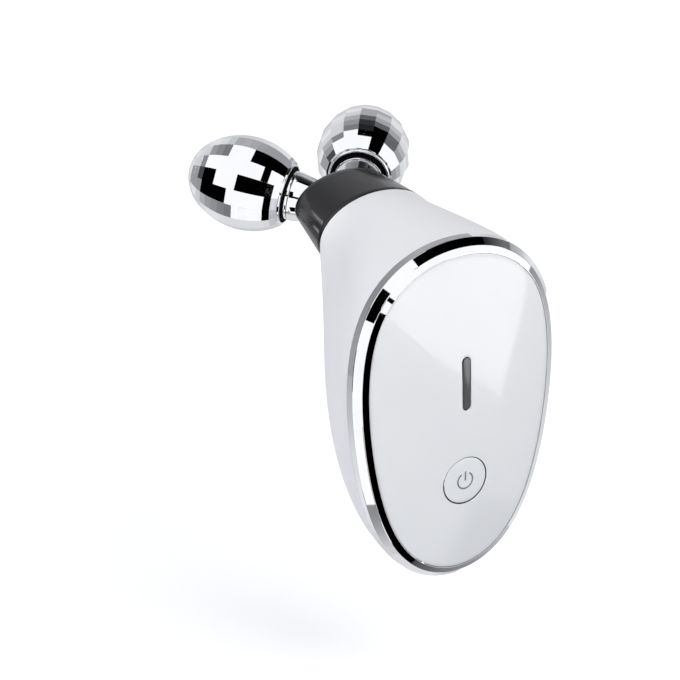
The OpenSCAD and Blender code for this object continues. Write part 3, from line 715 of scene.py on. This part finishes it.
button = {
    "diameter": 11.2, "edge": 0.25, "edgeTurns": (0.5, 1.0, math.pi / 2), "count": 120,
    "rings": (0.05, 0.6, 1.3, 2, 2.8, 3.6, 4.3, 4.8),  # radii of the top's loops
    "flangeWide": 1.0, "flangeThick": 0.75, "flangeFromBack": 4.4, "stemDiameter": 4.0,
    "wallIn": 0.1, "wallStart": 0.3,  # where the side wall painted dark as the gap's shade starts, under the lacquered edge
}
sign = {
    "radius": 1.95, "line": 0.4, "steps": 64,
    "gap": 62,  # degrees
    "bar": 2.3, "barUp": 1.15, "barSteps": 8, "lift": 0.012, "thick": 0.03,
}


def topStation(r, back):
    def station(turn):
        x, z = r * math.sin(turn), r * math.cos(turn) - cover["buttonDrop"]
        return place(x, onDome(x, z) + back, z)
    return station


def flatStation(r, y):
    return lambda turn: place(r * math.sin(turn), y, r * math.cos(turn) - cover["buttonDrop"])


def buildButton():
    bm = bmesh.new()
    radius, edge = button["diameter"] / 2, button["edge"]
    tops = [topStation(r, 0) for r in button["rings"] + (radius - edge,)]
    tops += [topStation(radius - inward, back) for inward, back in roundedEdge(edge, button["edgeTurns"])]
    backY = (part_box("power_button")[1].y - seamY) / mm
    flangeY = backY - button["flangeFromBack"]
    flangeEnd = flangeY + button["flangeThick"]
    flange, pin = radius + button["flangeWide"], button["stemDiameter"] / 2
    rear = [flatStation(r, y) for r, y in (
        (radius, flangeY), (flange, flangeY), (flange, flangeEnd), (pin, flangeEnd), (pin, backY))]
    carrySolid(bm, tops + rear, button["count"])
    wallStart = onDome(0, radius - cover["buttonDrop"]) + edge + button["wallStart"]
    # the side wall below the edge takes the dark material: painted shade in the gap
    for f in bm.faces:
        x, y, z = (f.calc_center_median() - faceMiddle) / mm
        if math.hypot(x, z + cover["buttonDrop"]) > radius - button["wallIn"] and y > wallStart:
            f.material_index = 1
    piece = finishPiece(
        "powerButton", bm, polished, "power_button", ["power_button"], sharp=40)
    piece.data.materials.append(gapShade)


def buildPowerSign():
    # a ring open at the top, with an upright bar in the opening
    bm = bmesh.new()
    half = sign["line"] / 2
    gap = math.radians(sign["gap"])
    radii = (sign["radius"] - half, sign["radius"], sign["radius"] + half)
    verts = [bm.verts.new((r * math.sin(gap / 2), 0, r * math.cos(gap / 2))) for r in radii]
    edges = [bm.edges.new(pair) for pair in zip(verts, verts[1:])]
    bmesh.ops.spin(
        bm, geom=verts + edges, cent=(0, 0, 0), axis=(0, 1, 0), angle=2 * math.pi - gap,
        steps=sign["steps"], use_duplicate=False)
    foot = [bm.verts.new((x, 0, sign["barUp"] - sign["bar"] / 2)) for x in (-half, half)]
    line = bm.edges.new(foot)
    for _ in range(sign["barSteps"]):
        fresh = newVerts(bmesh.ops.extrude_edge_only(bm, edges=[line]))
        bmesh.ops.translate(bm, verts=fresh, vec=(0, 0, sign["bar"] / sign["barSteps"]))
        line = edgesOf(bm, fresh)[0]
    for vert in bm.verts:
        x, z = vert.co.x, vert.co.z - cover["buttonDrop"]
        vert.co = place(x, onDome(x, z) - sign["lift"], z)
    bmesh.ops.recalc_face_normals(bm, faces=bm.faces)
    bmesh.ops.solidify(bm, geom=list(bm.faces), thickness=sign["thick"] * mm)
    finishPiece("powerSign", bm, signShade, "power_button", [])


buildButton()
buildPowerSign()
print("button built")

cap = {
    "start": 0.15, "length": 14.5, "endWidth": 25.0, "endHeight": 14.0, "endZ": 34.6,
    "frontEdge": ((0, 0.25), (0.08, 0.08), (0.25, 0)),  # the chamfer at the shell: distance back and in
    "edge": 0.35, "edgeTurns": (0.5, 1.0, math.pi / 2),
    "wall": 1.4, "rim": 1.0, "plateInset": 0.3, "plateThick": 1.4, "ledge": 0.9, "ledgeThick": 1,
    "steps": 12, "count": 160,
}


def capStation(y, inset):
    p = (y - shell["depth"]) / cap["length"]
    width = shell["neckWidth"] + p * (cap["endWidth"] - shell["neckWidth"])
    height = shell["neckHeight"] + p * (cap["endHeight"] - shell["neckHeight"])
    z = shell["neckZ"] + p * (cap["endZ"] - shell["neckZ"])

    def station(turn):
        x, up = eggPoint(width / 2, height / 2, 0, turn, inset)
        return place(x, y, z + up)
    return station


def buildCap():
    bm = bmesh.new()
    front = shell["depth"] + cap["start"]
    back = shell["depth"] + cap["length"]
    outer = [capStation(front, cap["wall"])]
    outer += [capStation(front + behind, inward) for behind, inward in cap["frontEdge"]]
    sideStart = front + cap["frontEdge"][-1][0]
    step = (back - sideStart - cap["edge"]) / cap["steps"]
    outer += [capStation(sideStart + k * step, 0) for k in range(1, cap["steps"] + 1)]
    outer += [capStation(back - before, inward)
              for before, inward in roundedEdge(cap["edge"], cap["edgeTurns"])]
    plate = back - cap["plateInset"] - cap["plateThick"]
    rim, ledge = cap["rim"], cap["rim"] + cap["ledge"]
    thick = cap["ledgeThick"]
    inner = [capStation(y, inward) for y, inward in (
        (back, rim), (plate, rim), (plate, ledge), (plate - thick, ledge), (plate - 2 * thick, cap["wall"]))]
    carryLoop(bm, outer + inner, cap["count"], closed=True)
    finishPiece("neckCap", bm, glossDark, "body", ["neck_cap"], sharp=40)


buildCap()
print("neck cap built")

roller = {
    "diameter": 21.4, "length": 27.4, "facets": 18, "rows": 24, "openRows": 6, "reach": 25.1,
    "facetEdge": 0.006, "facetAngle": 2,
    "mouthScale": 0.84, "mouthDepth": 2,
}
# Radii and heights in the roller's own frame, where Z runs outwards along the axle
collar = {
    "profile": (
        (4.0, -11.27), (4.0, -9.3), (7.05, -9.3), (7.05, -10.0), (6.98, -10.12), (6.8, -10.18),
        (6.6, -10.12), (6.52, -10.0), (6.5, -9.85), (5.62, -9.85), (5.62, -10.7),
        (5.62, -11.2), (5.55, -11.27)),
    "recess": (5.55, 6.56, -10.72, -9.8),  # its part painted black as shade: smallest and largest radius, low and high
    "length": 1.6, "count": 128,  # the length up to the seal's gap
}
seal = {
    "profile": ((4.0, 0.0), (5.3, 0.0), (5.5, 0.15), (5.5, 0.4), (5.3, 0.55), (4.0, 0.55)),
    "gap": 0.25, "thick": 0.55, "count": 96,
}
stem = {
    "radius": 4.7, "bore": 3.25, "flare": 0.92, "flareLength": 4.5, "flareSteps": 8,
    "sleeveInner": 5.53, "sleeveEnd": -11.4, "sleeveEdge": 0.04,  # the sleeve goes over the seal
    "sealSlack": 0.02, "seatDepth": 0.1, "past": 2, "count": 128,
}
yoke = {"slack": 0.05, "edge": 0.1, "stemSunk": 1.2}
roller["mouthZ"] = -roller["length"] / 2 * math.cos(math.pi * roller["openRows"] / roller["rows"])
seal["start"] = roller["mouthZ"] - collar["length"] - seal["gap"] - seal["thick"]


def axleMatrix(side):
    # the roller's own frame, from its joint: Z runs outwards along the axle from the roller's middle
    joint = next(j for j in frame["joints"] if j["name"] == side + "_roller_spin")
    out = Vector(joint["axis"]).normalized()
    down = out.cross(Vector((1, 0, 0))).normalized()
    across = down.cross(out)
    turn = Matrix((across, down, out)).transposed().to_4x4()
    return Matrix.Translation(Vector(joint["pos_m"]) + out * roller["reach"] * mm) @ turn


def buildRoller(side):
    bm = bmesh.new()
    bmesh.ops.create_uvsphere(bm, u_segments=roller["facets"], v_segments=roller["rows"], radius=1.0)
    scale = Vector((roller["diameter"] / 2, roller["diameter"] / 2, roller["length"] / 2)) * mm
    bmesh.ops.rotate(bm, verts=bm.verts, cent=(0, 0, 0), matrix=Matrix.Rotation(math.radians(90), 3, "Z"))
    bmesh.ops.scale(bm, verts=bm.verts, vec=scale)
    below = 0.1
    gone = [v for v in bm.verts if v.co.z < (roller["mouthZ"] - below) * mm]
    bmesh.ops.delete(bm, geom=gone, context="VERTS")
    # the mouth turns in, goes a little deeper and is closed there, behind the collar
    made = bmesh.ops.extrude_edge_only(bm, edges=[e for e in bm.edges if e.is_boundary])
    bmesh.ops.scale(bm, verts=newVerts(made), vec=(roller["mouthScale"], roller["mouthScale"], 1))
    made = bmesh.ops.extrude_edge_only(bm, edges=[e for e in bm.edges if e.is_boundary])
    bmesh.ops.translate(bm, verts=newVerts(made), vec=(0, 0, roller["mouthDepth"] * mm))
    bmesh.ops.contextual_create(bm, geom=[e for e in bm.edges if e.is_boundary])
    facetEdges = [e for e in bm.edges if e.calc_face_angle(0) > math.radians(roller["facetAngle"])]
    bevelEdges(bm, facetEdges, roller["facetEdge"], 1)
    bmesh.ops.transform(bm, matrix=axleMatrix(side), verts=bm.verts)
    finishPiece(side + "Roller", bm, chrome, side + "_roller", [side + "_roller"], flat=True)


def buildCollar(side):
    bm = bmesh.new()
    spinProfile(bm, collar["profile"], collar["count"])
    nearest, furthest, low, high = collar["recess"]
    for f in bm.faces:
        middle = f.calc_center_median() / mm
        if nearest < middle.xy.length < furthest and low < middle.z < high:
            f.material_index = 1  # painted shade: the recess behind the rim is drawn in black rubber
    bmesh.ops.transform(bm, matrix=axleMatrix(side), verts=bm.verts)
    piece = finishPiece(
        side + "Collar", bm, chrome, side + "_roller", [side + "_collar"], sharp=50)
    piece.data.materials.append(rubber)


def buildSeal(side):
    bm = bmesh.new()
    spinProfile(bm, [(r, z + seal["start"]) for r, z in seal["profile"]], seal["count"])
    bmesh.ops.transform(bm, matrix=axleMatrix(side), verts=bm.verts)
    finishPiece(side + "Seal", bm, rubber, "body", [side + "_seal"], sharp=50)


def turnStem(side):
    # the turned stem up to the seal, with a flared seat
    bm = bmesh.new()
    bore, radius, flare, steps = stem["bore"], stem["radius"], stem["flare"], stem["flareSteps"]
    outside, edge, sleeveEnd = radius + flare, stem["sleeveEdge"], stem["sleeveEnd"]
    underSeal, seat = seal["start"] - stem["sealSlack"], seal["start"] - stem["seatDepth"]
    profile = [(bore, underSeal), (stem["sleeveInner"], underSeal), (stem["sleeveInner"], sleeveEnd),
               (outside - edge, sleeveEnd), (outside, sleeveEnd - edge), (outside, seat)]
    profile += [(radius + flare * (1 - k / steps), seat - stem["flareLength"] * k / steps)
                for k in range(1, steps + 1)]
    end = -roller["reach"] - stem["past"]
    spinProfile(bm, profile + [(radius, end), (bore, end)], stem["count"])
    bmesh.ops.transform(bm, matrix=axleMatrix(side), verts=bm.verts)
    return bm


def buildYoke():
    plateBack = shell["depth"] + cap["length"] - cap["plateInset"]
    inset, edge = cap["rim"] + yoke["slack"], yoke["edge"]
    bm = bmesh.new()
    plate = ((plateBack - cap["plateThick"], inset), (plateBack - edge, inset), (plateBack, inset + edge))
    carrySolid(bm, [capStation(y, inward) for y, inward in plate], cap["count"])
    for side in ("left", "right"):
        part = turnStem(side)
        bmesh.ops.recalc_face_normals(part, faces=part.faces)
        # the stem is cut off inside the plate, and its end is closed
        bmesh.ops.bisect_plane(
            part, geom=list(part.verts) + list(part.edges) + list(part.faces),
            plane_co=place(0, plateBack - yoke["stemSunk"], 0), plane_no=(0, -1, 0), clear_outer=True)
        bmesh.ops.bridge_loops(part, edges=[e for e in part.edges if e.is_boundary])
        scratch = bpy.data.meshes.new("stem")
        part.to_mesh(scratch)
        part.free()
        bm.from_mesh(scratch)
        bpy.data.meshes.remove(scratch)
    finishPiece("yokeStems", bm, chrome, "body", ["yoke"], sharp=40)


for side in ("left", "right"):
    buildRoller(side)
    buildCollar(side)
    buildSeal(side)
buildYoke()
print("rollers and yoke built")

# The CAD nodes that stay get clean shading; their shapes are left as they are
for name, node in frame["nodes"].items():
    if node.hide_render:
        continue
    node.data.polygons.foreach_set("use_smooth", [True] * len(node.data.polygons))
    weld = node.modifiers.new("weld", "WELD")
    weld.merge_threshold = tolerance["nodeWeld"] * mm
    split = node.modifiers.new("split", "EDGE_SPLIT")
    split.split_angle = math.radians(tolerance["nodeSharp"])
print("CAD nodes shaded")

# Distances and sizes of the studio are in m, directions in degrees: azimuth from the front, elevation
studio = {
    "floorDrop": 0.03, "floorSize": 6.0, "floorTone": "#D4D6DC", "floorGlow": 0.52,
    "worldFill": 0.305, "fillColour": "#F6F8FA",
    "cardDistance": 4.8,
}
# The flags stand so far out that every facet sees one at the same angle; a nearer layer covers the next
layers = {"black": 5.0, "lit": 5.05, "white": 5.1, "graded": 5.2}
lamps = {
    # azimuth, elevation, distance, size of the softbox, power in W
    "topSoftbox": (16, 50, 1.1, 0.7, 7.2),
    "leftFill": (-80, 18, 1.2, 0.8, 4.8),
    "leftRim": (-128, 12, 1.2, 0.8, 4.2),
    "rightRim": (115, 35, 1.2, 0.8, 3.0),
}
# Corners of each flag: low left, low right, high right, high left
blackFlags = {
    "lensFlag": ((-62, 14), (-11.5, 9.5), (-11.5, 15.5), (-62, 26)),
    "lensFlagTop": ((-62, 14), (-44, 14), (-44, 41), (-62, 43)),
    "topFlag": ((-4, 43), (66, 33), (66, 68), (-4, 68)),
    "topFlagSide": ((60, 34), (96, 42), (92, 84), (60, 76)),
    "topFlagTip": ((90, 71), (122, 73), (122, 86), (90, 84)),
    "standFlag": ((-24, -45), (-7, -45), (-9, 3.6), (-23, 3.6)),
    "standFoot": ((-23, -66), (14, -68), (2, -44), (-24, -44)),
    "leftFlag": ((-128, -22), (-80, -22), (-80, -4), (-128, -4)),
    "leftFlagTop": ((-128, -5), (-101, -5), (-101, 27), (-128, 24)),
    "neckFlag": ((-62, -53), (-34, -53), (-34, -30), (-62, -30)),
    "capStripe": ((-154.5, 5), (-148.5, 5), (-148.5, 13.5), (-154.5, 13.5)),
}
whitePanels = {
    "rightWall": ((40, -34), (64, -34), (71, 0), (54, 17)),
    "rightRear": ((121, -40), (143, -40), (143, -15), (121, -15)),
}
# Bright silk: corners and strength; the first gives the wedge of light on the cover
litStrips = {
    "coverHighlight": (((12, -12.5), (45.8, -24.8), (51, -6), (10, 0)), 3.2),
    "capStreakHigh": (((-156, 16.5), (-149.5, 16.5), (-149.5, 22), (-156, 22)), 4.0),
    "capStreakLow": (((-155, -2.5), (-149, -2.5), (-149, 3.5), (-155, 3.5)), 4.0),
}
greyPanels = {
    "backGrey": (((124, 12), (143, 12), (164, 39), (134, 38)), "#B0B0B2"),
    "backLeft": (((-178, 10), (-157, 10), (-159, 31), (-178, 33)), "#DCDCDD"),
    "backLeftLow": (((-166, -19), (-141, -19), (-141, 6), (-166, 6)), "#A4A4A6"),
    "leftGrey": (((-138, 3), (-128, 3), (-128, 14), (-138, 14)), "#4D4D4F"),
}
# Panels whose tone changes with the angle from a start: corners, start, (degrees, tone) stops
gradedPanels = {
    "backPanel": (((92, 41), (142, 43.5), (142, 76), (92, 76)), (118, 72), (
        (8, "#262627"), (16, "#303031"), (29, "#66666A"))),
    "sidePanel": (((66, 21), (94, 18), (96, 44), (66, 36)), (80, 41), (
        (4, "#2E2E2F"), (9, "#4A4A4C"), (20, "#727275"))),
    "lowPanel": (((-88, -77), (-65, -77), (-69.2, -48.3), (-77, -48.3)), (-70, -46), (
        (4, "#8F8F92"), (11, "#A5A5A8"), (16, "#BABABC"), (26, "#DADADB"))),
    "underPanel": (((8, -70), (102, -66), (98, -40), (10, -55)), (0, -60), (
        (4, "#3A3A3C"), (9, "#5A5A5C"), (17.6, "#69696B"), (27, "#808083"), (45, "#969699"),
        (57, "#C6C6C8"))),
}
rampSpan = 60  # degrees that a graded panel's stops reach at most
# A small black card that one facet of the left roller shows, with its half size in degrees
tipCard = {"azimuth": -7.5, "elevation": 9.2, "half": 1.3}
walls = {
    "front": (-32.5, 24), "strength": 1.1,
    "tones": (  # from right behind the object (0) to right in front of it (1)
        (0.0, "#C6C6C8"), (0.05, "#CCCCCE"), (0.09, "#DFDFE0"), (0.134, "#E5E5E6"), (0.18, "#D9DADB"),
        (0.22, "#BFC0C2"), (0.265, "#AEAFB1"), (0.33, "#9B9C9F"), (0.39, "#909194"), (0.44, "#818285"),
        (0.49, "#767779"), (0.5, "#FFFFFF")),
    # the table shows as a soft pale disc: its direction, its even part, its edge
    "table": (-160, -77), "tableEven": 14, "tableEdge": 28, "tableTone": "#DEDEDF",
}


def direction(azimuth, elevation):
    a, e = math.radians(azimuth), math.radians(elevation)
    return Vector((math.sin(a) * math.cos(e), -math.cos(a) * math.cos(e), math.sin(e)))


def facingCentre(azimuth, elevation, distance, roll=0.0):
    # a frame that looks at the object from that side
    back = direction(azimuth, elevation)
    across = Vector((math.cos(math.radians(azimuth)), math.sin(math.radians(azimuth)), 0))
    turn = Matrix((across, back.cross(across), back)).transposed().to_4x4()
    return Matrix.Translation(back * distance) @ turn @ Matrix.Rotation(math.radians(roll), 4, "Z")


def buildLamps():
    for name, (azimuth, elevation, distance, size, power) in lamps.items():
        light = bpy.data.lights.new(name, "AREA")
        light.shape = "SQUARE"
        light.size = size
        light.energy = power
        lamp = addObject(name, light)
        lamp.matrix_world = facingCentre(azimuth, elevation, distance)
        lamp.visible_glossy = False  # the gloss shows the studio's walls and flags instead


def flagCloth(name, tone, strength=1.0):
    # matt cloth that the chrome mirrors as an even tone, so its own tone is given as a glow
    return startMaterial(name, "#000000", {
        "Roughness": 1.0, "Specular IOR Level": 0.0, "Emission Color": hexColour(tone),
        "Emission Strength": strength})[0]


def gradedCloth(name, start, stops):
    # the same cloth, with a tone that follows the angle from the start
    material = flagCloth(name, "#808080")
    tree = material.node_tree
    point = addNode(tree, "TexCoord").outputs["Object"]
    towards = addNode(tree, "VectorMath", {0: point}, operation="NORMALIZE")
    match = addNode(tree, "VectorMath", {0: towards, 1: direction(*start)}, operation="DOT_PRODUCT")
    angle = addNode(tree, "Math", {0: match.outputs["Value"]}, operation="ARCCOSINE")
    share = addNode(tree, "Math", {0: angle, 1: math.radians(rampSpan)}, operation="DIVIDE")
    ramp = addNode(tree, "ValToRGB", {"Fac": share})
    setStops(ramp, [(degrees / rampSpan, tone) for degrees, tone in stops])
    tree.links.new(ramp.outputs["Color"], tree.nodes["Principled BSDF"].inputs["Emission Color"])
    return material


def spreadFlag(name, corners, cloth, distance, centre=Vector((0, 0, 0))):
    bm = bmesh.new()
    bmesh.ops.create_grid(bm, x_segments=12, y_segments=12, size=1.0)
    lowLeft, lowRight, highRight, highLeft = [Vector(c) for c in corners]
    for vert in bm.verts:
        across, up = (vert.co.x + 1) / 2, (vert.co.y + 1) / 2
        azimuth, elevation = lowLeft.lerp(lowRight, across).lerp(highLeft.lerp(highRight, across), up)
        vert.co = centre + direction(azimuth, elevation) * distance
    flag = meshObject(name, bm)
    flag.data.materials.append(cloth)
    for ray in ("camera", "diffuse", "shadow", "transmission"):
        setattr(flag, "visible_" + ray, False)


def buildFlags():
    black = flagCloth("blackVelvet", "#000000")
    white = flagCloth("whiteSilk", "#FFFFFF", 1.1)
    for name, corners in blackFlags.items():
        spreadFlag(name, corners, black, layers["black"])
    for name, corners in whitePanels.items():
        spreadFlag(name, corners, white, layers["white"])
    for name, (corners, tone) in greyPanels.items():
        spreadFlag(name, corners, flagCloth(name + "Cloth", tone), layers["graded"])
    for name, (corners, start, stops) in gradedPanels.items():
        spreadFlag(name, corners, gradedCloth(name + "Cloth", start, stops), layers["graded"])
    for name, (corners, strength) in litStrips.items():
        spreadFlag(name, corners, flagCloth(name + "Silk", "#FFFFFF", strength), layers["lit"])
    corners = [(tipCard["azimuth"] + a * tipCard["half"], tipCard["elevation"] + e * tipCard["half"])
               for a, e in ((-1, -1), (1, -1), (1, 1), (-1, 1))]
    cloth = flagCloth("lensTipCloth", "#000000")
    spreadFlag("lensTip", corners, cloth, studio["cardDistance"], axleMatrix("left").translation)


def paleFloor():
    # matt white sweep; seen from above only, so that views from below aren't blocked
    material, shader = startMaterial("paleFloor", studio["floorTone"], {
        "Roughness": 0.9, "Specular IOR Level": 0.1, "Emission Color": (1, 1, 1, 1)})
    tree = material.node_tree
    path = addNode(tree, "LightPath")
    seen = path.outputs["Is Camera Ray"]
    glow = addNode(tree, "Math", {0: seen, 1: studio["floorGlow"]}, operation="MULTIPLY")
    tree.links.new(glow.outputs[0], shader.inputs["Emission Strength"])
    clear = addNode(tree, "BsdfTransparent")
    side = addNode(tree, "NewGeometry")
    mix = addNode(tree, "MixShader", {0: side.outputs["Backfacing"], 1: shader, 2: clear})
    tree.links.new(mix.outputs[0], tree.nodes["Material Output"].inputs["Surface"])
    return material


def buildFloor():
    bm = bmesh.new()
    bmesh.ops.create_grid(bm, x_segments=1, y_segments=1, size=studio["floorSize"] / 2)
    level = min(corner[2] for corner in cadBounds) - studio["floorDrop"]
    bmesh.ops.translate(bm, verts=bm.verts, vec=(0, 0, level))
    floor = meshObject("floor", bm)
    floor.data.materials.append(paleFloor())
    floor.visible_glossy = False  # the chrome shows the studio's wall below the table line too


def buildWorld():
    # white to the camera; the gloss shows a white front wall, greyer sides and a pale wall behind
    world = bpy.data.worlds.new("studioWorld")
    bpy.context.scene.world = world
    world.use_nodes = True
    tree = world.node_tree
    tree.nodes.clear()
    path = addNode(tree, "LightPath")
    point = addNode(tree, "TexCoord").outputs["Generated"]
    front, below = direction(*walls["front"]), direction(*walls["table"])
    toFront = addNode(tree, "VectorMath", {0: point, 1: front}, operation="DOT_PRODUCT")
    depth = addNode(tree, "MapRange", {"Value": toFront.outputs["Value"], "From Min": -1, "From Max": 1})
    wall = addNode(tree, "ValToRGB", {"Fac": depth})
    setStops(wall, walls["tones"])
    toTable = addNode(tree, "VectorMath", {0: point, 1: below}, operation="DOT_PRODUCT")
    near = addNode(tree, "MapRange", {
        "Value": toTable.outputs["Value"], "From Min": math.cos(math.radians(walls["tableEdge"])),
        "From Max": math.cos(math.radians(walls["tableEven"]))}, interpolation_type="SMOOTHSTEP")
    table = addNode(tree, "Mix", {0: near, 6: wall, 7: hexColour(walls["tableTone"])}, data_type="RGBA")
    gloss = addNode(tree, "Background", {"Color": table.outputs[2], "Strength": walls["strength"]})
    fill = addNode(tree, "Background", {
        "Color": hexColour(studio["fillColour"]), "Strength": studio["worldFill"]})
    white = addNode(tree, "Background", {"Color": (1, 1, 1, 1), "Strength": 1.0})
    byGloss = addNode(tree, "MixShader", {0: path.outputs["Is Glossy Ray"], 1: fill, 2: gloss})
    byCamera = addNode(tree, "MixShader", {0: path.outputs["Is Camera Ray"], 1: byGloss, 2: white})
    addNode(tree, "OutputWorld", {"Surface": byCamera})


buildLamps()
buildFlags()
buildFloor()
buildWorld()
bpy.context.scene.view_settings.view_transform = "Standard"
print("studio built")

view = {
    "azimuth": -32.48, "elevation": 23.96, "roll": -0.19, "distance": 1.25, "lens": 297.8,
    "aim": (-17.0, 17.8, 13.3),  # mm from the face's middle
}
cameraData = bpy.data.cameras.new("camera")
cameraData.lens = view["lens"]
camera = addObject("camera", cameraData)
camera.matrix_world = Matrix.Translation(place(*view["aim"])) @ facingCentre(
    view["azimuth"], view["elevation"], view["distance"], view["roll"])
bpy.context.scene.camera = camera

print("scene finished")
